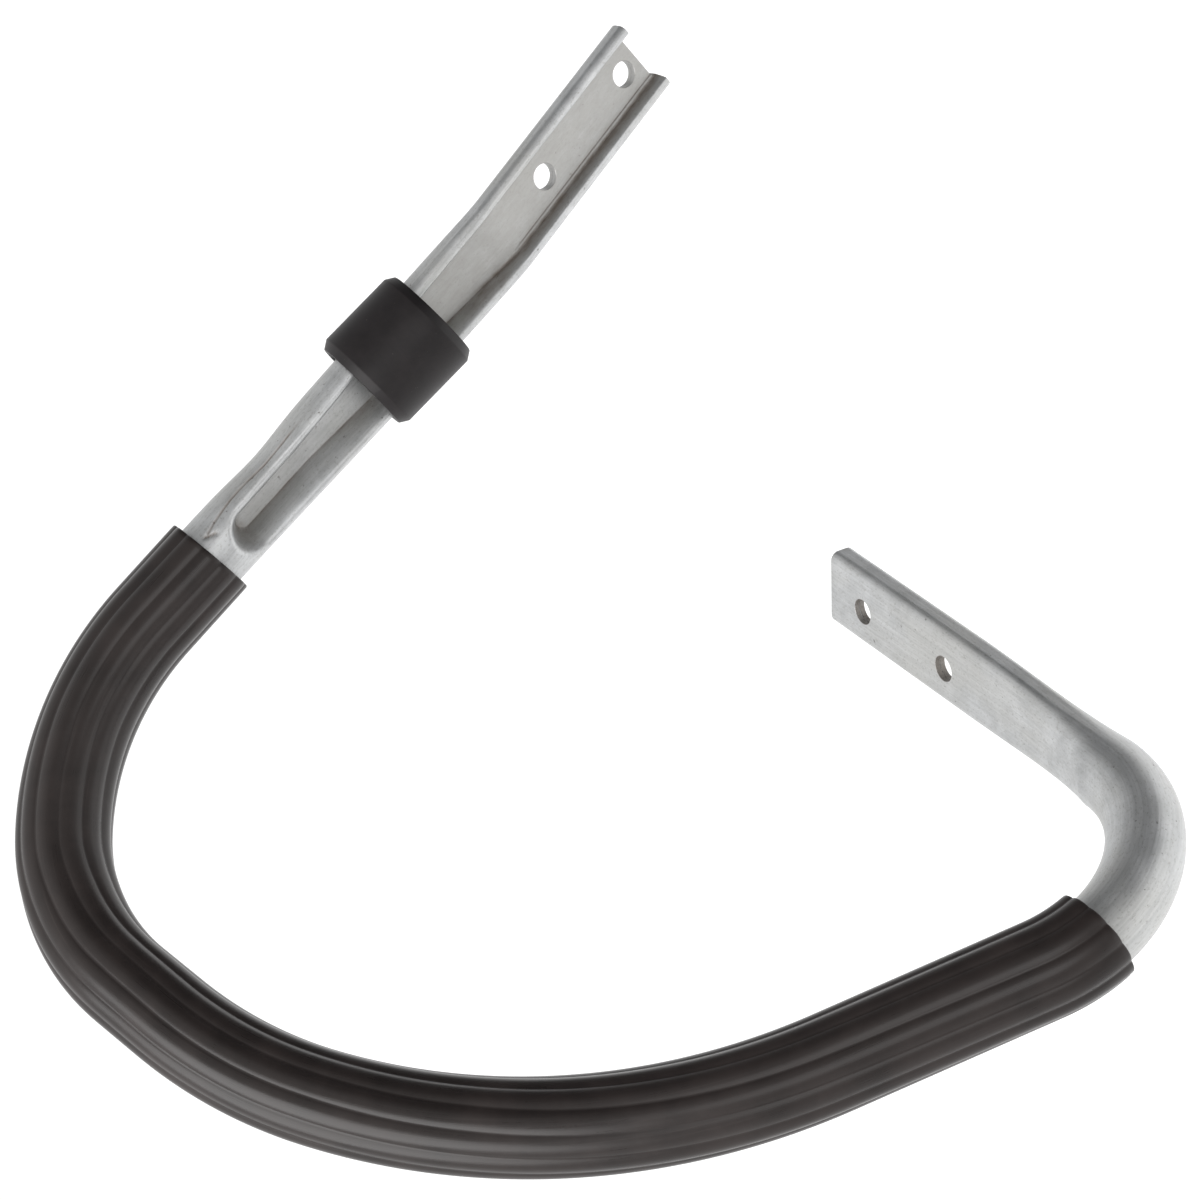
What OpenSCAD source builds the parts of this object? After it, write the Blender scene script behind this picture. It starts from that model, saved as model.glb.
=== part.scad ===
// Wrap-around tubular handlebar: one bent round tube with two pressed, drilled ends,
// a fluted sleeve over the gripping length and a short collar around the long pressed leg.
// Units are millimetres. +Z is up. The origin is on the flat back of the upper pressed end,
// midway between its two holes; +X points out of that flat back.

/* [Piece] */
// which piece to build

/* [Tube] */
// outside diameter of the round tube
tube_od = 25; // [24:0.5:26]
// wall thickness
tube_wall = 2; // [1.5:0.1:2.5]

/* [Bend table] */
// lean of the upper end away from vertical, degrees
lean = 32; // [20:1:45]
// straight from the upper end to the small kink
run_upper = 77; // [74:1:90]
// radius of the kink
kink_r = 60; // [50:1:80]
// angle of the kink, degrees
kink_angle = 9; // [4:0.5:14]
// straight from the kink to the loop
run_leg = 167; // [160:1:180]
// roll from the kink's plane to the loop's plane, degrees
roll_loop = 145; // [135:1:155]
// first shoulder bend, radius
shoulder_r = 104; // [90:1:120]
// first shoulder bend, degrees
shoulder_angle = 43; // [35:1:50]
// tight corner bend, radius
corner_r = 67; // [55:1:80]
// tight corner bend, degrees
corner_angle = 50; // [42:1:58]
// short straight after the corner
run_corner = 18; // [10:1:30]
// first part of the long sweep, radius
sweep_r1 = 157; // [140:1:180]
// first part of the long sweep, degrees
sweep_angle1 = 21; // [15:1:27]
// second part of the long sweep, radius
sweep_r2 = 236; // [210:1:260]
// second part of the long sweep, degrees
sweep_angle2 = 40; // [34:1:46]
// straight from the sweep to the return bend
run_sweep = 69; // [55:1:85]
// roll from the loop's plane to the return bend's plane, degrees
roll_return = -29; // [-40:1:-18]
// return bend, radius
return_r = 48; // [42:1:60]
// return bend, degrees
return_angle = 111; // [100:1:120]
// roll of the lower end's flat against the return bend, degrees
roll_lower = 22; // [10:1:35]
// straight lower leg, from the return bend to its end
run_lower = 146; // [140:1:160]

/* [Pressed ends] */
// width across the pressed channel
end_w = 29; // [28:0.5:30]
// thickness of the pressed channel over its side beads
end_t = 9; // [8.5:0.5:10]
// width of the channel's floor
floor_w = 19.4; // [17:0.2:20]
// width of each sloped channel wall
wall_w = 2.2; // [1.6:0.2:2.8]
// width of the channel's floor where it runs out into the round tube
floor_w_end = 6.2; // [5:0.2:8]
// width of each channel wall where the channel runs out
wall_w_end = 5.9; // [5:0.1:6.4]
// distance from the upper end at which the tube is fully round
round_upper = 222; // [200:1:225]
// length of the fully pressed part of the lower end
flat_lower = 75; // [68:1:90]
// how far the side beads stand past the floor's cut edge at the upper end
bead_over = 1.6; // [0:0.2:3]

/* [Holes] */
// hole diameter, clearance for an M8 screw
hole_d = 9; // [8.4:0.1:10]
// spacing of the two holes at each end
hole_pitch = 46; // [40:1:50]
// first hole from the upper end
hole_in_upper = 9; // [8:0.5:14]
// first hole from the lower end
hole_in_lower = 18.5; // [10:0.5:20]

/* [Sleeve] */
// outside diameter over the sleeve's ribs
sleeve_od = 31.5; // [30:0.1:34]
// distance from the upper end at which the sleeve starts
sleeve_start = 225; // [224:1:240]
// how far the sleeve runs into the return bend, degrees
sleeve_into_return = 24; // [4:1:40]

/* [Collar] */
// collar outside diameter
collar_od = 38.5; // [36:0.5:42]
// collar length
collar_len = 33.7; // [24:0.1:40]
// axial length of the end chamfers
collar_chamfer_len = 2.9; // [1:0.1:5]
// depth of the end chamfers
collar_chamfer_in = 1.8; // [0.5:0.1:2.3]
// bore of the collar
collar_bore = 29.6; // [29.5:0.1:30]
// distance of the collar's middle from the upper end
collar_at = 133; // [110:1:195]
// how far the loose collar rocks on the flattened leg, degrees
collar_tilt = 4.5; // [0:0.5:5]

/* [Hidden] */
tube_r = tube_od / 2;
bore_r = tube_r - tube_wall;
half_t = end_t / 2;
mid_upper = hole_in_upper + hole_pitch / 2;
kink_len = kink_r * kink_angle * PI / 180;
leg_round = round_upper - run_upper - kink_len;
leg_sleeve = sleeve_start - run_upper - kink_len;
leg_collar = collar_at - run_upper - kink_len;
trans_lower = run_lower - flat_lower;

// 4 x 4 frames: local z runs along the tube, local x points to the bend's centre
function mv(x, y, z) = [[1, 0, 0, x], [0, 1, 0, y], [0, 0, 1, z], [0, 0, 0, 1]];
function rx(a) = [[1, 0, 0, 0], [0, cos(a), -sin(a), 0], [0, sin(a), cos(a), 0], [0, 0, 0, 1]];
function ry(a) = [[cos(a), 0, sin(a), 0], [0, 1, 0, 0], [-sin(a), 0, cos(a), 0], [0, 0, 0, 1]];
function rz(a) = [[cos(a), -sin(a), 0, 0], [sin(a), cos(a), 0, 0], [0, 0, 1, 0], [0, 0, 0, 1]];
function bend(r, a) = mv(r, 0, 0) * ry(a) * mv(-r, 0, 0);

// frames down the tube
f_upper = mv(-half_t, 0, 0) * rx(-lean) * mv(0, 0, -mid_upper);
f_kink = f_upper * mv(0, 0, run_upper);
f_leg = f_kink * bend(kink_r, kink_angle);
f_shoulder = f_leg * mv(0, 0, run_leg) * rz(roll_loop);
f_corner = f_shoulder * bend(shoulder_r, shoulder_angle);
f_short = f_corner * bend(corner_r, corner_angle);
f_sweep1 = f_short * mv(0, 0, run_corner);
f_sweep2 = f_sweep1 * bend(sweep_r1, sweep_angle1);
f_long = f_sweep2 * bend(sweep_r2, sweep_angle2);
f_return = f_long * mv(0, 0, run_sweep) * rz(roll_return);
f_lower = f_return * bend(return_r, return_angle) * rz(roll_lower);

// section rule: f = 0 is the pressed channel, f = 1 the round tube.
// Local x is positive towards the flat back; local y runs across the width.
function mix(a, b, f) = a + (b - a) * f;
function ease(t) = let(c = min(1, max(0, t))) c * c * (3 - 2 * c);
function s_a(f, in) = mix(end_w / 2, tube_r, ease(f)) - in;
function s_b(f, in) = mix(half_t, tube_r, f) - in;
function s_r(f, in) = mix(4.2, tube_r, f) - in;
function s_floor(f, in) = mix(floor_w, floor_w_end, min(1, f / 0.72)) / 2 + in;
function s_wall(f) = mix(wall_w, wall_w_end, min(1, f / 0.72));
// the floor keeps its place against the back wall while the front grows round
function s_depth(f) = 2 * half_t - 2 * tube_wall + mix(0, tube_r - half_t, f);
function outer_x(y, a, b, r) = abs(y) < a - r ? b : b - r + sqrt(max(0, r * r - pow(abs(y) - (a - r), 2)));
// how deep the channel is at width y; it ends as a rounded bowl just short of the round tube
function dent(y, w, f) = 1 - ease((norm([y, 13 * max(0, f - 0.91) / 0.09]) - w) / s_wall(f));
function y_list(a, w, f) = let(e = min(w + s_wall(f), 0.86 * a), k = min(w, e - 0.8))
    concat([0, k / 2, k], [for (i = [1:4]) mix(k, e, i / 4)], [for (i = [1:6]) e + (a - e) * sin(15 * i)]);
function section(f, in) = let(
        a = s_a(f, in), b = s_b(f, in), r = s_r(f, in), w = s_floor(f, in), ys = y_list(a, w, f), n = len(ys))
    concat(
        [for (i = [n - 1:-1:1]) [-outer_x(ys[i], a, b, r) + s_depth(f) * dent(ys[i], w, f), -ys[i]]],
        [for (i = [0:n - 1]) [-outer_x(ys[i], a, b, r) + s_depth(f) * dent(ys[i], w, f), ys[i]]],
        [for (i = [n - 2:-1:0]) [outer_x(ys[i], a, b, r), ys[i]]],
        [for (i = [1:n - 2]) [outer_x(ys[i], a, b, r), -ys[i]]]);
// a section's cap, as strips between the front and the back at the same width
function cap(n, base) = let(h = n / 2 + 1)
    [for (i = [0:h - 2]) let(p = base + i, q = base + i + 1, c = base + (n - i) % n, d = base + n - i - 1)
        each (i == 0 ? [[p, q, d]] : i == h - 2 ? [[p, q, c]] : [[p, q, d], [p, d, c]])];
function turned(faces) = [for (t = faces) [t[0], t[2], t[1]]];

function place(m, p) = let(q = m * [p[0], p[1], 0, 1]) [q[0], q[1], q[2]];
function ring(m, f, in) = [for (p = section(f, in)) place(m, p)];
function skin(n, base) = [for (i = [0:n - 1]) let(j = (i + 1) % n, p = base, q = base + n)
    each [[p + i, q + j, q + i], [p + i, p + j, q + j]]];

// Closed shell through the outer stations and back through the inner ones.
// up: true when the outer stations run from pressed to round along the tube.
module pressed_to_round(outer, inner, up) {
    n = len(section(0, 0));
    no = len(outer);
    ni = len(inner);
    o = up ? outer : [for (i = [no - 1:-1:0]) outer[i]];
    pts = concat([for (s = o) each ring(s[0], s[1], 1.5 * hair)], [for (s = inner) each ring(s[0], s[1], 0.85 * tube_wall)]);
    faces = concat(
        turned(cap(n, 0)),
        [for (k = [0:no + ni - 2]) each skin(n, k * n)],
        cap(n, (no + ni - 1) * n));
    polyhedron(points = pts, faces = up ? faces : turned(faces), convexity = 6);
}

// Neighbouring lengths of tube lap 0.5 mm and differ by a hair in radius, so each lap lies inside the thicker wall.
lap = 0.5;
hair = 0.02;
module ring_2d(e = 0) difference() { circle(r = tube_r + e, $fn = 96); circle(r = bore_r - e, $fn = 96); }
module sleeve_2d(e = 0) difference() { circle(r = sleeve_od / 2 + e, $fn = 96); circle(r = tube_r + 5 * hair - e, $fn = 96); }
// children: a 2-D section symmetric about its own y axis
module straight(m, len, before = 0, after = 0) multmatrix(m * mv(0, 0, -before))
    linear_extrude(height = len + before + after, convexity = 4) children();
module arc(m, r, a, after = 0) multmatrix(m * [[-1, 0, 0, r], [0, 0, 1, 0], [0, 1, 0, 0], [0, 0, 0, 1]])
    rotate_extrude(angle = a + after * 180 / (PI * r), $fn = 180, convexity = 4) translate([r, 0]) children();
module holes(m, first) for (z = [first, first + hole_pitch])
    multmatrix(m * mv(0, 0, z) * ry(90) * mv(0, 0, -20)) cylinder(d = hole_d, h = 40, $fn = 64);

// stations of the upper leg: kink, then the run-out of the channel
up_total = round_upper - run_upper;
kink_f = kink_len / up_total;
bowl_f = [0.91, 0.925, 0.94, 0.955, 0.97, 0.985, 1];
upper_f = concat([0.1, 0.17, 0.25, 0.33, 0.41, 0.5, 0.58, 0.65, 0.72, 0.78, 0.84, 0.88], bowl_f);
inner_f = concat([for (i = [6:-1:0]) bowl_f[i]], [0.88, 0.8, 0.72, 0.65, 0.58, 0.5, 0.4, 0.3]);
function up_frame(f) = let(s = f * up_total)
    s < kink_len ? f_kink * bend(kink_r, kink_angle * s / kink_len) : f_leg * mv(0, 0, s - kink_len);
upper_outer = concat([[f_kink * mv(0, 0, -lap), 0]], [for (f = [0.01, 0.02, 0.04, kink_f]) [up_frame(f), f]],
    [for (f = upper_f) if (f > kink_f + 0.01) [up_frame(f), f]], [[up_frame(1) * mv(0, 0, lap), 1]]);
upper_inner = concat([[up_frame(1) * mv(0, 0, lap), 1]], [for (f = inner_f) [up_frame(f), f]]);

// stations of the lower leg, from the pressed length back to the return bend
trans_round = 2;
function low_frame(f) = f_lower * mv(0, 0, trans_round + (trans_lower - trans_round) * (1 - f));
lower_outer = concat([[f_lower * mv(0, 0, trans_round - lap), 1]],
    [for (i = [6:-1:0]) [low_frame(bowl_f[i]), bowl_f[i]]],
    [for (f = [0.84, 0.78, 0.72, 0.65, 0.58, 0.5, 0.4, 0.3, 0.2, 0.1, 0]) [low_frame(f), f]],
    [[f_lower * mv(0, 0, trans_lower + lap), 0]]);
lower_inner = concat([[f_lower * mv(0, 0, trans_round - lap), 1]], [for (f = inner_f) [low_frame(f), f]]);

module handle_tube() color([0.72, 0.73, 0.73]) {
    // upper pressed end
    difference() {
        straight(f_upper, run_upper) polygon(section(0, 0));
        holes(f_upper, hole_in_upper);
        multmatrix(f_upper) translate([-10, -floor_w / 2, -1]) cube([20, floor_w, 1 + bead_over]);
    }
    pressed_to_round(upper_outer, upper_inner, true);
    // round tube, down the bend table
    straight(f_leg * mv(0, 0, leg_round), run_leg - leg_round, 0, lap) ring_2d();
    arc(f_shoulder, shoulder_r, shoulder_angle, lap) ring_2d(hair);
    arc(f_corner, corner_r, corner_angle) ring_2d(2 * hair);
    straight(f_short, run_corner, lap, lap) ring_2d();
    arc(f_sweep1, sweep_r1, sweep_angle1, lap) ring_2d(hair);
    arc(f_sweep2, sweep_r2, sweep_angle2) ring_2d(2 * hair);
    straight(f_long, run_sweep, lap, lap) ring_2d();
    arc(f_return, return_r, return_angle) ring_2d(hair);
    straight(f_lower, trans_round, lap, 0) ring_2d();
    // lower pressed end
    pressed_to_round(lower_outer, lower_inner, false);
    difference() {
        straight(f_lower * mv(0, 0, trans_lower), flat_lower) polygon(section(0, 0));
        holes(f_lower, run_lower - hole_in_lower - hole_pitch);
    }
}

module grip_sleeve() color([0.13, 0.11, 0.11]) {
    straight(f_leg * mv(0, 0, leg_sleeve), run_leg - leg_sleeve, 0, lap) sleeve_2d();
    arc(f_shoulder, shoulder_r, shoulder_angle, lap) sleeve_2d(hair);
    arc(f_corner, corner_r, corner_angle) sleeve_2d(2 * hair);
    straight(f_short, run_corner, lap, lap) sleeve_2d();
    arc(f_sweep1, sweep_r1, sweep_angle1, lap) sleeve_2d(hair);
    arc(f_sweep2, sweep_r2, sweep_angle2) sleeve_2d(2 * hair);
    straight(f_long, run_sweep, lap, lap) sleeve_2d();
    arc(f_return, return_r, sleeve_into_return) sleeve_2d(hair);
}

module collar() color([0.1, 0.1, 0.1])
    multmatrix(f_leg * mv(0, 0, leg_collar) * ry(collar_tilt) * mv(0, 0, -collar_len / 2))
    rotate_extrude($fn = 120) polygon([
        [collar_bore / 2, 0],
        [collar_od / 2 - collar_chamfer_in, 0],
        [collar_od / 2, collar_chamfer_len],
        [collar_od / 2, collar_len - collar_chamfer_len],
        [collar_od / 2 - collar_chamfer_in, collar_len],
        [collar_bore / 2, collar_len]]);

handle_tube();
grip_sleeve();
collar();
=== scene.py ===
import math
import bpy
import bmesh
import numpy as np
from mathutils import Matrix, Vector
from mathutils.geometry import tessellate_polygon
from mathutils.kdtree import KDTree


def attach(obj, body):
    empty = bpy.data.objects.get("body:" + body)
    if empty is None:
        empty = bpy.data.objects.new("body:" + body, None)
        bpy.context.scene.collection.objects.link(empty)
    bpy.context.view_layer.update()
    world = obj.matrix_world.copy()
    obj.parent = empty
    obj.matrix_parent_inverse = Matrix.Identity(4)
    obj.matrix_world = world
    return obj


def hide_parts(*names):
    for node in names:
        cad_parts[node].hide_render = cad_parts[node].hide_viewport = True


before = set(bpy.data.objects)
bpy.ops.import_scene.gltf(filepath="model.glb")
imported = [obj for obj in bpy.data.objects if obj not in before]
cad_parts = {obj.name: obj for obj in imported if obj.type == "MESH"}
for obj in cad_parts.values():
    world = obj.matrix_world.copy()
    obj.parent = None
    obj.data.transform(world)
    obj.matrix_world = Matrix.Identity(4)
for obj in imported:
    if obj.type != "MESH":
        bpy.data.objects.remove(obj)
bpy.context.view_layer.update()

MM = 0.001
scene = bpy.context.scene

# ---------------------------------------------------------------- the tube's path, in millimetres
TUBE_R, SLEEVE_R = 12.5, 15.75
END_W, END_T, FLOOR_W = 29.0, 9.0, 19.4
RUN_UPPER, KINK_R, KINK_A, RUN_LEG = 77.0, 60.0, 9.0, 167.0
KINK_LEN = KINK_R * math.radians(KINK_A)
RUN_LOWER, FLAT_LOWER, ROUND_UPPER = 146.0, 75.0, 222.0
TABLE = [  # straight, roll, radius, angle
    (RUN_UPPER, 0, KINK_R, KINK_A),
    (RUN_LEG, 145, 104, 43),
    (0, 0, 67, 50),
    (18, 0, 157, 21),
    (0, 0, 236, 40),
    (69, -29, 48, 111),
    (RUN_LOWER, 22, 0, 0),
]


def turn(axis, a):
    k = np.array([[0, -axis[2], axis[1]], [axis[2], 0, -axis[0]], [-axis[1], axis[0], 0]])
    return np.eye(3) + math.sin(a) * k + (1 - math.cos(a)) * k @ k


def walk(step=0.5):
    """Stations down the tube: distance, point, and a frame (u, v, t) that never spins about the tube."""
    la = math.radians(32)
    t, u = np.array([0, math.sin(la), math.cos(la)]), np.array([1.0, 0, 0])
    v = np.cross(t, u)
    p = -t * 32 + np.array([-END_T / 2, 0, 0])
    s, roll, rows, marks = 0.0, 0.0, [], []
    for run, r, rad, ang in TABLE:
        n = max(1, round(run / step)) if run else 0
        for i in range(n):
            rows.append((s + run * i / n, p + t * run * i / n, u, v, t))
        p, s = p + t * run, s + run
        roll += math.radians(r)
        marks.append(s)
        if rad:
            w = math.cos(roll) * u + math.sin(roll) * v
            axis, a = np.cross(t, w), math.radians(ang)
            c, n = p + rad * w, max(4, round(rad * a / step))
            for i in range(n):
                q = turn(axis, a * i / n)
                rows.append((s + rad * a * i / n, c + q @ (p - c), q @ u, q @ v, q @ t))
            q = turn(axis, a)
            p, u, v, t, s = c + q @ (p - c), q @ u, q @ v, q @ t, s + rad * a
            marks.append(s)
    rows.append((s, p, u, v, t))
    return rows, marks, roll


ROWS, MARKS, ROLL = walk()
S = np.array([r[0] for r in ROWS])
P = np.array([r[1] for r in ROWS])
U, V, T = (np.array([r[k] for r in ROWS]) for k in (2, 3, 4))
TOTAL = float(S[-1])
LOWER_START = TOTAL - RUN_LOWER
SLEEVE_0 = 225.0
SLEEVE_1 = LOWER_START - 48 * math.radians(111 - 24)
LEG_DIR = T[np.searchsorted(S, 150.0)]


def at(s):
    i = min(len(S) - 1, max(0, int(np.searchsorted(S, s))))
    if i == 0:
        return P[0], U[0], V[0], T[0]
    k = min(1.0, max(0.0, (s - S[i - 1]) / max(1e-9, S[i] - S[i - 1])))
    mix = lambda a: a[i - 1] * (1 - k) + a[i] * k
    return mix(P), mix(U), mix(V), mix(T)


TREE = KDTree(len(P))
for i, p in enumerate(P):
    TREE.insert(p, i)
TREE.balance()


def straightened(co):
    """Where a point lies in the unbent tube: across, across, along, in millimetres."""
    _, i, _ = TREE.find(co)
    d = np.array(co) - P[i]
    return float(d @ U[i]), float(d @ V[i]), float(S[i] + d @ T[i])


def ease(t):
    t = min(1.0, max(0.0, t))
    return t * t * (3 - 2 * t)


def mixf(a, b, f):
    return a + (b - a) * f


# ---------------------------------------------------------------- helpers
def mesh_object(name, verts, faces, body, smooth=True):
    me = bpy.data.meshes.new(name)
    me.from_pydata([tuple(float(c) * MM for c in v) for v in verts], [], faces)
    me.validate()
    ob = bpy.data.objects.new(name, me)
    scene.collection.objects.link(ob)
    if smooth:
        me.polygons.foreach_set("use_smooth", [True] * len(me.polygons))
    return ob


def apply_modifiers(ob):
    dg = bpy.context.evaluated_depsgraph_get()
    new = bpy.data.meshes.new_from_object(ob.evaluated_get(dg))
    old = ob.data
    ob.modifiers.clear()
    ob.data = new
    new.name = ob.name
    if old.users == 0:
        bpy.data.meshes.remove(old)


def set_sharp(ob, degrees):
    me = ob.data
    me.polygons.foreach_set("use_smooth", [True] * len(me.polygons))
    me.set_sharp_from_angle(angle=math.radians(degrees))


def tidy(ob):
    bm = bmesh.new()
    bm.from_mesh(ob.data)
    bmesh.ops.remove_doubles(bm, verts=bm.verts, dist=2e-6)
    bmesh.ops.dissolve_degenerate(bm, dist=1e-6, edges=bm.edges)
    bmesh.ops.recalc_face_normals(bm, faces=bm.faces)
    bm.to_mesh(ob.data)
    bm.free()


def point_attribute(ob, name, kind, values):
    at_ = ob.data.attributes.new(name, kind, "POINT")
    at_.data.foreach_set("vector" if kind == "FLOAT_VECTOR" else "value", np.asarray(values, dtype=np.float32).ravel())


# ---------------------------------------------------------------- the tube's section
# In a section x runs from the channel (front, minus) to the flat back (plus), y across. f = 0 pressed, 1 round.
FLOOR_X = 0.5
FOLDS = [  # creases left by pressing, on the minus-y shoulder: (distance, degrees from the front), depth, half width
    ([(170, 66.7), (185, 66.0), (192, 65.5), (200, 68.0), (207, 67.0), (212, 63.5), (217, 60.0), (221, 55.0)], 0.42, 0.5),
    ([(218.4, 44.0), (220.3, 48.5), (222.6, 54.5)], 0.55, 0.55),
]


def tube_f(s):
    """How round the tube is at distance s."""
    if s <= RUN_UPPER:
        return 0.0
    if s < ROUND_UPPER:
        return (s - RUN_UPPER) / (ROUND_UPPER - RUN_UPPER)
    if s > TOTAL - FLAT_LOWER:
        return 0.0
    if s > LOWER_START:
        return 1 - (s - LOWER_START) / (RUN_LOWER - FLAT_LOWER)
    return 1.0


def sizes(s, side):
    """Half width, half thickness, front corner, back corner, floor half width, wall's outer edge, run-out distance."""
    f, low = tube_f(s), s > 400
    fb = f ** 4.2 if low else f
    a = mixf(END_W / 2, TUBE_R, ease(f))
    if low and side < 0:
        a -= 0.9 * (1 - ease(f))
    if not low and side < 0:
        a -= 1.25 * math.exp(-((s - 191) / 14) ** 2)
    b = mixf(END_T / 2, TUBE_R, fb)
    rf = mixf(2.4, TUBE_R, fb if low else f ** 1.5)
    rb = mixf(3.0 if low and side > 0 else 4.2, TUBE_R, fb)
    k = min(1.0, f / 0.72)
    w = mixf(FLOOR_W / 2, 3.1, k)
    e = min(w + mixf(1.5, 6.6, k), 0.93 * a)
    u = 13 * max(0.0, f - 0.91) / 0.09
    return a, b, min(rf, a), min(rb, a), w, e, u


def front_x(y, s, side):
    a, b, rf, rb, w, e, u = sizes(s, side)
    y = abs(y)
    out = b if y < a - rf else b - rf + math.sqrt(max(0.0, rf * rf - (y - (a - rf)) ** 2))
    rho = math.hypot(y, u)
    if tube_f(s) >= 1 or rho >= e:
        return -out
    g = 0.0 if rho <= w else 1 - (1 - (rho - w) / (e - w)) ** mixf(1.8, 1.5, min(1.0, tube_f(s) / 0.5))
    x = FLOOR_X * (1 - g) - out * g
    if side > 0 and s < 120:
        x -= 0.42 * ease((rho - 7.9) / 0.45) * (1 - ease((s - 76) / 22)) * (1 - g)
    return x


FLOOR_STEPS = [0, 0.16, 0.32, 0.48, 0.62, 0.72, 0.79, 0.82, 0.845, 0.87, 0.92, 0.965]
WALL_STEPS, REST_STEPS = 15, 66


def half_outline(s, side):
    """Points from the middle of the front, round one side, to the middle of the back."""
    a, b, rf, rb, w, e, u = sizes(s, side)
    pts = [(front_x(w * k, s, side), w * k) for k in FLOOR_STEPS]
    pts += [(front_x(w + (e - w) * i / WALL_STEPS, s, side), w + (e - w) * i / WALL_STEPS) for i in range(WALL_STEPS)]
    path, wt = [], []

    def add(x, y, weight):
        path.append((x, y))
        wt.append(weight)
    if e < a - rf:
        for i in range(8):
            add(-b, mixf(e, a - rf, i / 8), 0.9)
    h0 = math.asin(min(1.0, max(0.0, (e - (a - rf)) / rf)))
    for i in range(60):
        h = mixf(h0, math.pi / 2, i / 60)
        add(-(b - rf + rf * math.cos(h)), a - rf + rf * math.sin(h), 1.2 + 3.0 / rf)
    if b - rb > -(b - rf) + 1e-6:
        for i in range(12):
            add(mixf(-(b - rf), b - rb, i / 12), a, 0.8)
    for i in range(60):
        h = math.pi / 2 * i / 60
        add((b - rb) + rb * math.sin(h), a - rb + rb * math.cos(h), 0.5 + 4.0 / rb)
    if a - rb > 1e-6:
        for i in range(20):
            add(b, (a - rb) * (1 - i / 20), 0.4)
    add(b, 0.0, 0.4)
    q, wt = np.array(path), np.array(wt)
    d = np.hypot(*np.diff(q, axis=0).T) * (wt[:-1] + wt[1:]) / 2
    c = np.concatenate([[0], np.cumsum(d)])
    at_ = np.linspace(0, c[-1], REST_STEPS + 1)
    pts += list(zip(np.interp(at_, c, q[:, 0]), np.interp(at_, c, q[:, 1])))
    return pts


def fold_at(s, x, y):
    """Depth of the pressing creases and how dark they are."""
    if not 160 < s < 226 or y > -1:
        return 0.0, 0.0
    arc = math.degrees(math.atan2(-y, -x))
    depth = dark = 0.0
    for line, deep, wide in FOLDS:
        q = np.array([(p_, math.radians(h) * 12.0) for p_, h in line])
        v = np.array([s, math.radians(arc) * 12.0])
        best = 1e9
        for i in range(len(q) - 1):
            e = q[i + 1] - q[i]
            k = min(1.0, max(0.0, float((v - q[i]) @ e / (e @ e))))
            best = min(best, float(np.hypot(*(v - q[i] - e * k))))
        fade = ease((s - line[0][0] + 0.5) / (14 if len(line) > 3 else 1.5)) if s > line[0][0] - 0.5 else 0.0
        g = math.exp(-(best / wide) ** 2) * fade
        depth, dark = max(depth, deep * g), max(dark, g)
    return depth, dark


def ring(s):
    right = half_outline(s, 1)
    left = [(x, -y) for x, y in half_outline(s, -1)]
    loop = right[:-1] + left[::-1][:-1]
    out = []
    for x, y in loop:
        d, _ = fold_at(s, x, y)
        r = math.hypot(x, y)
        out.append((x * (1 - d / r), y * (1 - d / r)) if d > 1e-4 else (x, y))
    return out


def tube_stations():
    out, s = [], 0.0
    while s < TOTAL - 0.4:
        out.append(s)
        if s < 66 or s > TOTAL - 76:
            s += 3.0
        elif s < 100:
            s += 1.0
        elif s < 160:
            s += 2.0
        elif s < ROUND_UPPER + 4:
            s += 0.8
        elif s < SLEEVE_1 - 14:
            s += 5.0
        else:
            s += 1.5
    return out + [TOTAL]


END_CUT = 66.0  # the drilled ends are cut as short lengths, then welded to the rest


def tube_length(name, s0, s1, caps):
    """The tube between two distances, its ends capped or open."""
    rings = []
    stations = [s0] + [q for q in tube_stations() if s0 + 0.3 < q < s1 - 0.3] + [s1]
    for s in stations:
        p, u, v, t = at(s)
        spin = ROLL * ease((s - 245) / 430)
        ox, oy = math.cos(spin) * u + math.sin(spin) * v, -math.sin(spin) * u + math.cos(spin) * v
        rings.append([p + ox * x + oy * y for x, y in ring(s)])
    n = len(rings[0])
    verts = [q for r in rings for q in r]
    faces = []
    for k in range(len(rings) - 1):
        for i in range(n):
            j = (i + 1) % n
            faces.append((k * n + i, k * n + j, (k + 1) * n + j, (k + 1) * n + i))
    if caps:
        for base, s_end, turn_ in ((0, s0, True), ((len(rings) - 1) * n, s1, False)):
            flat_ = [Vector((x, y, 0)) for x, y in ring(s_end)]
            for tri in tessellate_polygon([flat_]):
                faces.append(tuple(base + q for q in (tri[::-1] if turn_ else tri)))
    ob = mesh_object(name, verts, faces, None)
    bm = bmesh.new()
    bm.from_mesh(ob.data)
    bmesh.ops.recalc_face_normals(bm, faces=bm.faces)
    bm.to_mesh(ob.data)
    bm.free()
    return ob


def drop_cap(ob, s):
    """Remove the inner cap of a drilled end, so it can be welded on."""
    p, _, _, t = at(s)
    bm = bmesh.new()
    bm.from_mesh(ob.data)
    inner = [f for f in bm.faces if all(abs(float((np.array(v.co) / MM - p) @ t)) < 2e-3 for v in f.verts)]
    bmesh.ops.delete(bm, geom=inner, context="FACES")
    bm.to_mesh(ob.data)
    bm.free()


def weld(name, obs):
    bm = bmesh.new()
    for ob in obs:
        bm.from_mesh(ob.data)
    bmesh.ops.remove_doubles(bm, verts=bm.verts, dist=4e-6)
    bmesh.ops.dissolve_degenerate(bm, dist=2e-6, edges=bm.edges)
    bmesh.ops.delete(bm, geom=[v for v in bm.verts if not v.link_faces], context="VERTS")
    bmesh.ops.recalc_face_normals(bm, faces=bm.faces)
    me = bpy.data.meshes.new(name)
    bm.to_mesh(me)
    bm.free()
    for ob in obs:
        old = ob.data
        bpy.data.objects.remove(ob)
        bpy.data.meshes.remove(old)
    ob = bpy.data.objects.new(name, me)
    scene.collection.objects.link(ob)
    return ob


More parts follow.
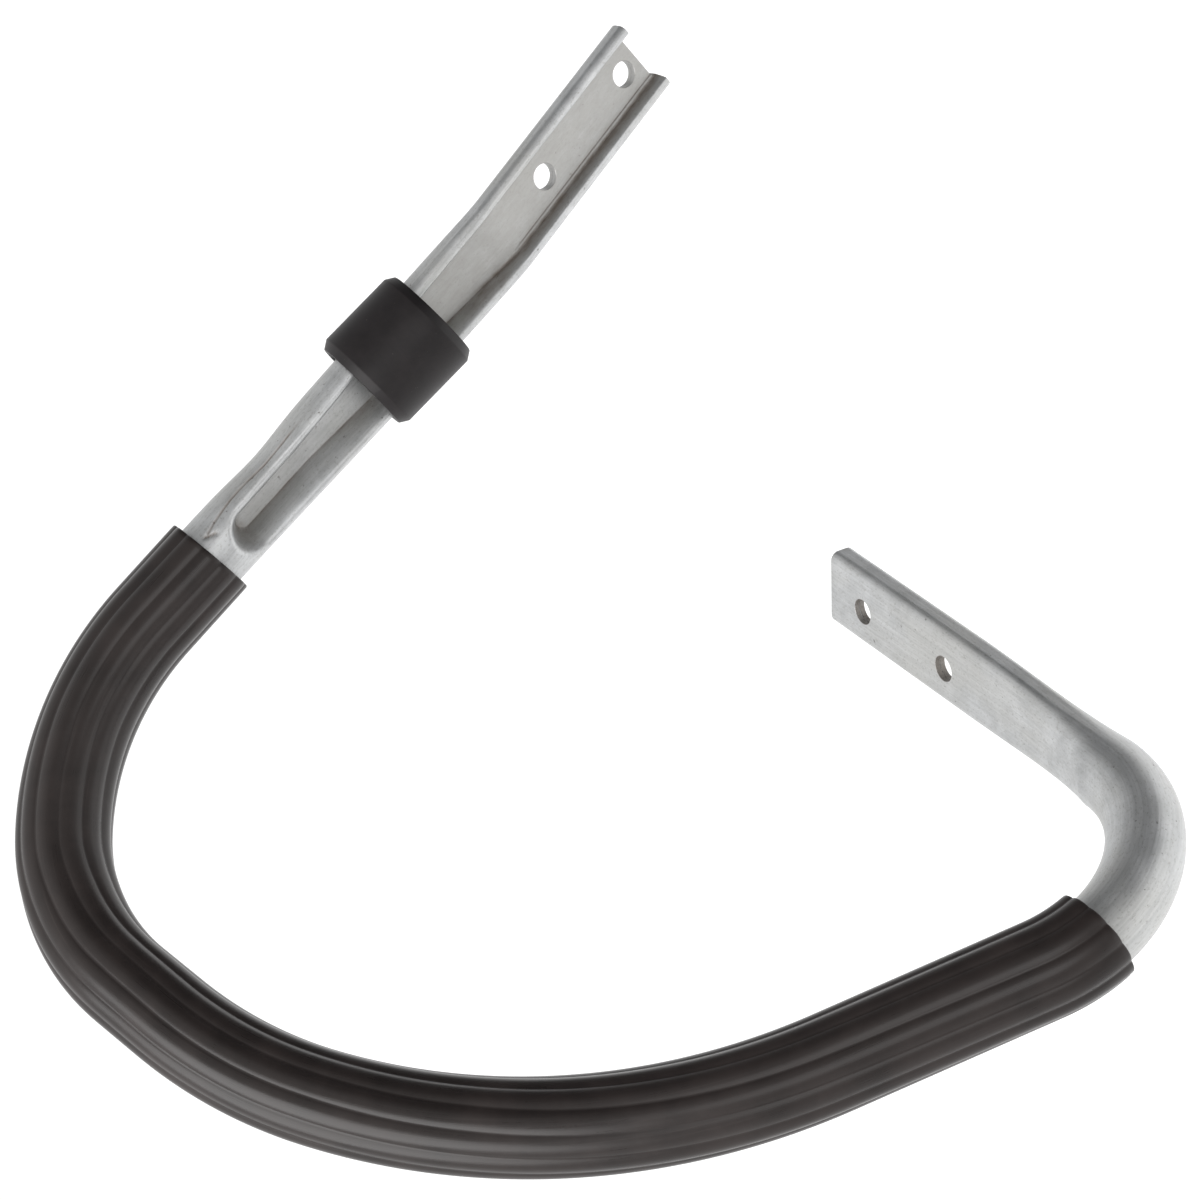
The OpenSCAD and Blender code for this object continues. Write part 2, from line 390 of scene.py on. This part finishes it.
def lathe(name, profile, origin, axis, side, n=64, closed=True):
    """profile: (radius, along) points; a solid of revolution."""
    side2 = np.cross(axis, side)
    verts, faces, m = [], [], len(profile)
    for i in range(n):
        h = 2 * math.pi * i / n
        d = math.cos(h) * side + math.sin(h) * side2
        verts += [origin + d * r + axis * z for r, z in profile]
    for i in range(n):
        j = (i + 1) % n
        for k in range(m - 1 if not closed else m):
            l = (k + 1) % m
            faces.append((i * m + k, j * m + k, j * m + l, i * m + l))
    return mesh_object(name, verts, faces, None)


def cut(ob, cutters, own_overlaps):
    for c in cutters:
        mod = ob.modifiers.new("cut", "BOOLEAN")
        mod.operation, mod.solver, mod.object, mod.use_self = "DIFFERENCE", "EXACT", c, own_overlaps
        apply_modifiers(ob)
    for c in cutters:
        me = c.data
        bpy.data.objects.remove(c)
        bpy.data.meshes.remove(me)


def hole_cutter(name, p, back, side):
    """A drill with a small countersink at both mouths and a hairline where the two walls meet."""
    rear = END_T / 2
    prof = [(0, -12), (5.2, -12), (5.2, -0.4), (4.5 + 0.16, 0.49), (4.5, 0.66),
            (4.5, 2.35), (4.72, 2.45), (4.72, 2.58), (4.5, 2.68),
            (4.5, rear - 0.16), (4.5 + 0.17, rear + 0.01), (5.4, rear + 0.8), (5.4, 12), (0, 12)]
    ob = lathe(name, prof, p, back, side, 72, closed=False)
    tidy(ob)
    return ob


pA, uA, vA, tA = at(0.0)
pB, uB, vB, tB = at(TOTAL)
backB = math.cos(ROLL) * uB + math.sin(ROLL) * vB
acrossB = -math.sin(ROLL) * uB + math.cos(ROLL) * vB


def box_cutter(name, centre, ax, ay, az, hx, hy, hz):
    vs = [centre + ax * hx * i + ay * hy * j + az * hz * k for i in (-1, 1) for j in (-1, 1) for k in (-1, 1)]
    fs = [(0, 1, 3, 2), (4, 6, 7, 5), (0, 4, 5, 1), (2, 3, 7, 6), (0, 2, 6, 4), (1, 5, 7, 3)]
    ob = mesh_object(name, vs, fs, None, False)
    return ob


end_a = tube_length("end_a", 0.0, END_CUT, True)
cut(end_a, [hole_cutter("c1", pA + tA * 9, uA, vA), hole_cutter("c2", pA + tA * 55, uA, vA),
            box_cutter("c3", pA - tA * 0.2, uA, vA, tA, 10, FLOOR_W / 2 - 0.15, 1.8)], True)
drop_cap(end_a, END_CUT)
end_b = tube_length("end_b", TOTAL - 76, TOTAL, True)
cut(end_b, [hole_cutter("c4", pB - tB * 18.5, backB, acrossB), hole_cutter("c5", pB - tB * 64.5, backB, acrossB)], False)
drop_cap(end_b, TOTAL - 76)
tube = weld("bent_tube", [end_a, tube_length("middle", END_CUT, TOTAL - 76, False), end_b])
set_sharp(tube, 38)

# ---------------------------------------------------------------- the ribbed sleeve
PHASE = [(228, -167), (260, -165), (294, -163), (340, -168), (356, -174), (385, -181), (408, -179), (440, -177),
         (464, -176), (517, -169), (549, -163), (600, -155), (641, -150), (691, -147), (725, -146)]
PS, PV = [a for a, _ in PHASE], [b for _, b in PHASE]
FLUTES = 12


def sleeve_r(h):
    """Radius at angle h from a valley, in degrees."""
    pitch = 360.0 / FLUTES
    q = (h % pitch) - pitch / 2
    q = math.radians(q)
    dc, rc = 9.35, 6.4
    return dc * math.cos(q) + math.sqrt(rc * rc - (dc * math.sin(q)) ** 2)


def build_sleeve():
    n = FLUTES * 16
    ss = list(np.linspace(SLEEVE_0, SLEEVE_1, 250))
    verts, faces = [], []
    # outer rings with softly broken ends, then inner rings
    ends = [(0.0, 0.55), (0.18, 0.2), (0.5, 0.05)]
    outer = [(SLEEVE_0 + a, b) for a, b in ends] + [(s, 0.0) for s in ss[1:-1]] + [(SLEEVE_1 - a, b) for a, b in ends[::-1]]
    inner = [(SLEEVE_1, 0), (SLEEVE_1 - 4, 0), (SLEEVE_0 + 4, 0), (SLEEVE_0, 0)]
    inner = [(SLEEVE_1 - (SLEEVE_1 - SLEEVE_0) * i / 60, 0) for i in range(61)]
    rings = 0
    for k, (s, inset) in enumerate(outer + inner):
        p, u, v, t = at(s)
        ph = float(np.interp(s, PS, PV))
        lean_in = 0.55 * (1 - ease((s - SLEEVE_0) / 8))
        for i in range(n):
            deg = ph + 360.0 * i / n
            r = sleeve_r(deg - ph) - inset if k < len(outer) else TUBE_R + 0.12
            h = math.radians(deg)
            # the start is cut a little out of square
            verts.append(p + u * r * math.cos(h) + v * r * math.sin(h) - t * lean_in * math.sin(h))
        rings += 1
    for k in range(rings):
        l = (k + 1) % rings
        for i in range(n):
            j = (i + 1) % n
            faces.append((k * n + i, k * n + j, l * n + j, l * n + i))
    ob = mesh_object("ribbed_sleeve", verts, faces, "handle")
    tidy(ob)
    set_sharp(ob, 42)
    return ob


sleeve = build_sleeve()

# ---------------------------------------------------------------- the collar
COLLAR_AT, COLLAR_L, COLLAR_R, COLLAR_BORE, COLLAR_TILT = 133.0, 33.7, 19.25, 15.15, 4.5


def build_collar():
    p, u, v, t = at(COLLAR_AT)
    c, q = math.cos(math.radians(COLLAR_TILT)), math.sin(math.radians(COLLAR_TILT))
    u, t = c * u - q * t, c * t + q * u
    h = COLLAR_L / 2

    pr = [(COLLAR_BORE, -h + 0.4), (COLLAR_BORE + 0.4, -h), (COLLAR_R - 2.1, -h), (COLLAR_R - 1.85, -h + 0.12),
          (COLLAR_R - 0.18, -h + 2.75), (COLLAR_R - 0.05, -h + 3.0), (COLLAR_R, -h + 3.3)]
    pr += [(COLLAR_R, -h + 3.3 + (2 * h - 6.6) * i / 6) for i in range(1, 6)]
    pr += [(r, -z) for r, z in pr[:7][::-1]]
    ob = lathe("slide_collar", pr, p, t, u, 160)
    tidy(ob)
    set_sharp(ob, 30)
    return ob


collar = build_collar()


# ---------------------------------------------------------------- attributes for the materials
def add_straightened(ob):
    n = len(ob.data.vertices)
    co = np.empty(n * 3, dtype=np.float32)
    ob.data.vertices.foreach_get("co", co)
    co = co.reshape(n, 3) / MM
    out = np.array([straightened(c) for c in co], dtype=np.float32)
    point_attribute(ob, "unbent", "FLOAT_VECTOR", out * MM)
    return out


ub = add_straightened(tube)


def dirt_and_shade_at(x, y, s):
    """Grime in the channel's corners, darker lines along the pressing creases, soft soil in the channel, painted shade
    inside the screw holes and a painted shadow on the channel's end wall.
    """
    f, low = tube_f(s), s > 400
    grime_and_shade = soil_and_shade = 0.0
    if low:
        x, y = math.cos(ROLL) * x + math.sin(ROLL) * y, -math.sin(ROLL) * x + math.cos(ROLL) * y
        if s > LOWER_START + 6:
            for d in (18.5, 64.5):
                if math.hypot(s - (TOTAL - d), y) < 4.45 or (math.hypot(s - (TOTAL - d), y) < 4.6 and x < END_T / 2 - 0.05):
                    # painted shade on the walls of the screw holes at this end, brown-tinted and darkened
                    return 0.5, 0.0, 0.8
    else:
        for d in (9.0, 55.0):
            if math.hypot(s - d, y) < 4.6 and x > FLOOR_X + 0.1:
                # painted shade on the walls of the screw holes at this end
                return 0.0, 0.2, 0.35
    if f < 1.0:
        side = 1 if y > 0 else -1
        a, b, rf, rb, w, e, u = sizes(s, side)
        rho = math.hypot(y, u)
        front = 1.0 if x < 1.2 and rho < e + 0.3 else 0.0
        foot = math.exp(-((rho - w) / 0.30) ** 2)
        if side > 0 and not low:
            packed = math.exp(-((rho - w + 0.15) / 0.75) ** 2) * (1 - ease((s - 92) / 16))
            line = math.exp(-((rho - 7.95) / 0.16) ** 2) * 0.6 * (1 - ease((s - 74) / 12))
            wall = ease((rho - w) / 0.4) * (1 - ease((rho - w) / 3.2))
            stain = wall * (0.55 * ease((s - 84) / 8) * (1 - ease((s - 104) / 8)) + 0.5 * ease((s - 138) / 6) * (1 - ease((s - 156) / 16)))
            grime_and_shade = front * max(0.72 * packed, line, 0.55 * foot * ease((s - 84) / 10), stain)
        else:
            grime_and_shade = front * 0.5 * foot
        # painted shadow on the channel's rounded end wall, laid into both the soil and the grime values
        end_wall_shadow = ease((s - 206) / 5) * (1 - ease((s - 216.5) / 2.5)) if not low else 0.0
        inside = 1 - ease((rho - w) / (e - w) * 1.15)
        soil_and_shade = front * max(0.85 * inside * (1 - ease((s - 120) / 30)), 0.42 * ease((s - 150) / 30) * (1 - ease((rho - w) / 4.5)), 0.6 * end_wall_shadow * inside)
        grime_and_shade = max(grime_and_shade, front * 0.32 * end_wall_shadow * inside * ease((s - 208.5) / 3))
    if not low:
        # darker along the pressing creases
        grime_and_shade = max(grime_and_shade, 0.8 * fold_at(s, x, y)[1])
    return grime_and_shade, soil_and_shade, 0.0


dirt_and_shade = [dirt_and_shade_at(*q) for q in ub]
for i, name in enumerate(("grime_and_shade", "soil_and_shade", "bore")):
    point_attribute(tube, name, "FLOAT", [d[i] for d in dirt_and_shade])
add_straightened(sleeve)
add_straightened(collar)


# ---------------------------------------------------------------- materials
def new_material(name):
    m = bpy.data.materials.new(name)
    m.use_nodes = True
    nt = m.node_tree
    nt.nodes.clear()
    out = nt.nodes.new("ShaderNodeOutputMaterial")
    b = nt.nodes.new("ShaderNodeBsdfPrincipled")
    nt.links.new(b.outputs["BSDF"], out.inputs["Surface"])
    return m, nt, b


class Net:
    def __init__(self, nt):
        self.nt = nt

    def node(self, kind, **kw):
        n = self.nt.nodes.new(kind)
        for k, v in kw.items():
            setattr(n, k, v)
        return n

    def link(self, a, b):
        self.nt.links.new(a, b)

    def attr(self, name, vector=True):
        n = self.node("ShaderNodeAttribute", attribute_name=name)
        return n.outputs["Vector" if vector else "Fac"]

    def scaled(self, vec, sc, loc=(0, 0, 0)):
        n = self.node("ShaderNodeMapping")
        n.inputs["Scale"].default_value = sc
        n.inputs["Location"].default_value = loc
        self.link(vec, n.inputs["Vector"])
        return n.outputs["Vector"]

    def noise(self, vec, scale, detail=4, rough=0.6, dist=0.0):
        n = self.node("ShaderNodeTexNoise")
        n.inputs["Scale"].default_value = scale
        n.inputs["Detail"].default_value = detail
        n.inputs["Roughness"].default_value = rough
        n.inputs["Distortion"].default_value = dist
        self.link(vec, n.inputs["Vector"])
        return n.outputs["Fac"]

    def ramp(self, fac, stops):
        n = self.node("ShaderNodeValToRGB")
        cr = n.color_ramp
        while len(cr.elements) > 2:
            cr.elements.remove(cr.elements[-1])
        for i, (pos, col) in enumerate(stops):
            e = cr.elements[i] if i < 2 else cr.elements.new(pos)
            e.position = pos
            e.color = col if isinstance(col, tuple) else (col, col, col, 1)
        self.link(fac, n.inputs["Fac"])
        return n.outputs["Color"]

    def mix(self, fac, a, b, mode="MIX"):
        n = self.node("ShaderNodeMix", data_type="RGBA", blend_type=mode)
        for sock, val in ((n.inputs[0], fac), (n.inputs[6], a), (n.inputs[7], b)):
            if hasattr(val, "node"):
                self.link(val, sock)
            else:
                sock.default_value = val
        return n.outputs[2]

    def math(self, op, a, b=0.0, clamp=False):
        n = self.node("ShaderNodeMath", operation=op, use_clamp=clamp)
        for i, val in enumerate((a, b)):
            if hasattr(val, "node"):
                self.link(val, n.inputs[i])
            else:
                n.inputs[i].default_value = val
        return n.outputs[0]

    def bump(self, height, strength, distance, normal=None):
        n = self.node("ShaderNodeBump")
        n.inputs["Strength"].default_value = strength
        n.inputs["Distance"].default_value = distance
        self.link(height, n.inputs["Height"])
        if normal is not None:
            self.link(normal, n.inputs["Normal"])
        return n.outputs["Normal"]


def aluminium():
    m, nt, b = new_material("drawn_aluminium")
    g = Net(nt)
    u = g.attr("unbent")
    streak = g.noise(g.scaled(u, (1300, 1300, 26)), 1.0, 5, 0.62)
    fine = g.noise(g.scaled(u, (4200, 4200, 60)), 1.0, 3, 0.6)
    cloud = g.noise(u, 95, 5, 0.62, 0.4)
    cloud2 = g.noise(g.scaled(u, (1, 1, 0.55), (3, 5, 7)), 38, 4, 0.6)
    spots = g.noise(g.scaled(u, (1, 1, 1), (9, 2, 4)), 620, 2, 0.5)
    base = g.mix(g.ramp(cloud, [(0.30, 0.0), (0.72, 1.0)]), (0.47, 0.477, 0.48, 1), (0.65, 0.658, 0.662, 1))
    base = g.mix(g.ramp(cloud2, [(0.40, 0.0), (0.62, 0.75)]), base, (0.53, 0.53, 0.515, 1), "MIX")
    pits = g.noise(g.scaled(u, (1, 1, 0.6), (2, 8, 1)), 1500, 3, 0.7)
    base = g.mix(g.ramp(pits, [(0.30, 0.55), (0.46, 0.0)]), base, (0.30, 0.29, 0.27, 1))
    base = g.mix(0.40, base, g.ramp(streak, [(0.30, 0.50), (0.66, 0.95)]), "MULTIPLY")
    dots = g.ramp(spots, [(0.235, 1.0), (0.29, 0.0)])
    base = g.mix(g.math("MULTIPLY", dots, 0.65), base, (0.10, 0.09, 0.08, 1))
    patchy = g.noise(g.scaled(u, (1, 1, 0.35)), 420, 4, 0.7)
    # soil on the channel floor; at the channel's end and in the holes of the drilled end it is painted shade
    base = g.mix(g.math("MULTIPLY", g.attr("soil_and_shade", False), g.ramp(patchy, [(0.25, 0.55), (0.7, 1.0)]), True), base, (0.345, 0.337, 0.32, 1))
    # grime, with painted shade from the screw holes and the channel's end wall
    dirt_and_shade = g.math("MULTIPLY", g.attr("grime_and_shade", False), g.ramp(patchy, [(0.3, 0.45), (0.62, 1.0)]), True)
    base = g.mix(dirt_and_shade, base, (0.15, 0.11, 0.082, 1))
    # painted shade inside the screw holes, a dark brown-grey
    base = g.mix(g.math("MULTIPLY", g.attr("bore", False), 0.62), base, (0.13, 0.112, 0.095, 1))
    g.link(base, b.inputs["Base Color"])
    b.inputs["Metallic"].default_value = 0.82
    rough = g.math("ADD", g.math("MULTIPLY", cloud, 0.16), g.math("MULTIPLY", streak, 0.14))
    rough = g.math("ADD", rough, g.math("MULTIPLY", dirt_and_shade, 0.3))
    g.link(g.math("ADD", rough, 0.28, True), b.inputs["Roughness"])
    n1 = g.bump(streak, 0.35, 0.00006)
    n2 = g.bump(fine, 0.25, 0.00003, n1)
    n3 = g.bump(cloud2, 0.35, 0.0004, n2)
    g.link(n3, b.inputs["Normal"])
    return m


def sleeve_rubber():
    m, nt, b = new_material("ribbed_rubber")
    g = Net(nt)
    u = g.attr("unbent")
    lines = g.noise(g.scaled(u, (1500, 1500, 18)), 1.0, 4, 0.6)
    grain = g.noise(u, 2600, 3, 0.6)
    cloud = g.noise(u, 60, 4, 0.6)
    base = g.mix(g.ramp(cloud, [(0.3, 0.0), (0.7, 1.0)]), (0.013, 0.0096, 0.0088, 1), (0.024, 0.0180, 0.0165, 1))
    base = g.mix(g.ramp(lines, [(0.60, 0.0), (0.8, 0.45)]), base, (0.045, 0.036, 0.033, 1))
    g.link(base, b.inputs["Base Color"])
    b.inputs["Specular IOR Level"].default_value = 0.36
    rough = g.math("ADD", g.math("MULTIPLY", cloud, 0.10), g.math("MULTIPLY", lines, 0.12))
    g.link(g.math("ADD", rough, 0.19, True), b.inputs["Roughness"])
    n1 = g.bump(lines, 0.3, 0.00008)
    n2 = g.bump(grain, 0.12, 0.00003, n1)
    g.link(n2, b.inputs["Normal"])
    return m


def collar_rubber():
    m, nt, b = new_material("moulded_rubber")
    g = Net(nt)
    u = g.attr("unbent")
    grain = g.noise(u, 3000, 3, 0.7)
    cloud = g.noise(u, 130, 4, 0.6)
    base = g.mix(g.ramp(cloud, [(0.3, 0.0), (0.7, 1.0)]), (0.0062, 0.0046, 0.0050, 1), (0.0125, 0.0098, 0.0103, 1))
    dust = g.ramp(g.noise(g.scaled(u, (1, 1, 1), (4, 4, 4)), 900, 2, 0.5), [(0.755, 0.0), (0.78, 1.0)])
    base = g.mix(g.math("MULTIPLY", dust, 0.3), base, (0.20, 0.18, 0.17, 1))
    g.link(base, b.inputs["Base Color"])
    b.inputs["Specular IOR Level"].default_value = 0.30
    g.link(g.math("ADD", g.math("MULTIPLY", cloud, 0.15), 0.42, True), b.inputs["Roughness"])
    sep = g.node("ShaderNodeSeparateXYZ")
    g.link(u, sep.inputs["Vector"])
    seam = g.ramp(g.math("ABSOLUTE", g.math("SUBTRACT", sep.outputs["Y"], -0.0042)), [(0.0, 1.0), (0.00045, 0.0)])
    wear = g.noise(g.scaled(u, (160, 160, 900), (1, 6, 3)), 1.0, 3, 0.6)
    n1 = g.bump(grain, 0.25, 0.00006)
    n2 = g.bump(wear, 0.3, 0.00012, n1)
    g.link(g.bump(seam, 0.5, 0.00025, n2), b.inputs["Normal"])
    return m


for ob, mat, body, node, slot in ((tube, aluminium(), "handle", "handle_tube", "tube"),
                                  (sleeve, sleeve_rubber(), "handle", "grip_sleeve", "sleeve"),
                                  (collar, collar_rubber(), "collar", "collar", "collar")):
    ob.data.materials.clear()
    ob.data.materials.append(mat)
    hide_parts(node)
    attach(ob, body)

# ---------------------------------------------------------------- floor, light and camera
me = bpy.data.meshes.new("floor")
me.from_pydata([(-3, -0.3, -0.55), (6, -0.3, -0.55), (6, 6, -0.55), (-3, 6, -0.55)], [], [(0, 1, 2, 3)])
floor = bpy.data.objects.new("floor", me)
scene.collection.objects.link(floor)
fm, fnt, fb = new_material("pale_floor")
fb.inputs["Base Color"].default_value = (0.96, 0.96, 0.96, 1)
fb.inputs["Roughness"].default_value = 0.9
fb.inputs["Emission Color"].default_value = (1, 1, 1, 1)
fb.inputs["Emission Strength"].default_value = 0.16
me.materials.append(fm)

CAM_R = np.array([[-0.57186, 0.18767, -0.79859], [-0.17986, 0.92111, 0.34526], [0.80039, 0.34108, -0.49299]])
CAM_T = np.array([-7.45, -160.83, 1237.61])
eye = -CAM_R.T @ CAM_T * MM
right, up, back = CAM_R[0], -CAM_R[1], -CAM_R[2]
cam_data = bpy.data.cameras.new("camera")
cam_data.sensor_width = 36.0
cam_data.sensor_fit = "HORIZONTAL"
cam_data.lens = 3660.0 / 1200.0 * 36.0
cam_data.clip_start, cam_data.clip_end = 0.05, 50
cam = bpy.data.objects.new("camera", cam_data)
scene.collection.objects.link(cam)
m = Matrix.Identity(4)
for i in range(3):
    m[i][0], m[i][1], m[i][2], m[i][3] = right[i], up[i], back[i], eye[i]
cam.matrix_world = m
scene.camera = cam

scene.view_settings.view_transform = "Standard"
world = bpy.data.worlds.new("studio")
scene.world = world
world.use_nodes = True
wn = world.node_tree
bg = wn.nodes["Background"]
tc = wn.nodes.new("ShaderNodeTexCoord")
dot = wn.nodes.new("ShaderNodeVectorMath")
dot.operation = "DOT_PRODUCT"
dot.inputs[1].default_value = (0.103, -0.935, -0.318)
wn.links.new(tc.outputs["Generated"], dot.inputs[0])
ramp = wn.nodes.new("ShaderNodeValToRGB")
ramp.color_ramp.interpolation = "EASE"
ramp.color_ramp.elements[0].position, ramp.color_ramp.elements[0].color = 0.40, (1, 1, 1, 1)
ramp.color_ramp.elements[1].position, ramp.color_ramp.elements[1].color = 0.94, (0.125, 0.130, 0.138, 1)
wn.links.new(dot.outputs["Value"], ramp.inputs["Fac"])
front = wn.nodes.new("ShaderNodeVectorMath")
front.operation = "DOT_PRODUCT"
front.inputs[1].default_value = tuple(back)
wn.links.new(tc.outputs["Generated"], front.inputs[0])
room = wn.nodes.new("ShaderNodeValToRGB")
room.color_ramp.interpolation = "EASE"
room.color_ramp.elements[0].position, room.color_ramp.elements[0].color = 0.35, (1, 1, 1, 1)
room.color_ramp.elements[1].position, room.color_ramp.elements[1].color = 1.0, (0.6, 0.6, 0.6, 1)
wn.links.new(front.outputs["Value"], room.inputs["Fac"])
both = wn.nodes.new("ShaderNodeMix")
both.data_type, both.blend_type = "RGBA", "MULTIPLY"
both.inputs[0].default_value = 1.0
wn.links.new(ramp.outputs["Color"], both.inputs[6])
wn.links.new(room.outputs["Color"], both.inputs[7])
rays = wn.nodes.new("ShaderNodeLightPath")
seen = wn.nodes.new("ShaderNodeMix")  # the backdrop itself is plain white from every side
seen.data_type = "RGBA"
seen.inputs[7].default_value = (1, 1, 1, 1)
wn.links.new(rays.outputs["Is Camera Ray"], seen.inputs[0])
wn.links.new(both.outputs[2], seen.inputs[6])
wn.links.new(seen.outputs[2], bg.inputs["Color"])
bg.inputs["Strength"].default_value = 1.0

CENTRE = Vector((-0.09, 0.16, 0.1))


def area(name, direction, distance, size, power, colour=(1, 1, 1)):
    d = bpy.data.lights.new(name, "AREA")
    d.shape, d.size, d.energy, d.color = "DISK", size, power, colour
    ob = bpy.data.objects.new(name, d)
    scene.collection.objects.link(ob)
    v = Vector(direction).normalized()
    ob.location = CENTRE + v * distance
    ob.rotation_euler = v.to_track_quat("Z", "Y").to_euler()
    return ob


area("overhead", (-0.15, 0.25, 1.0), 1.6, 1.6, 26)
area("front_fill", tuple(back), 1.9, 1.2, 6)
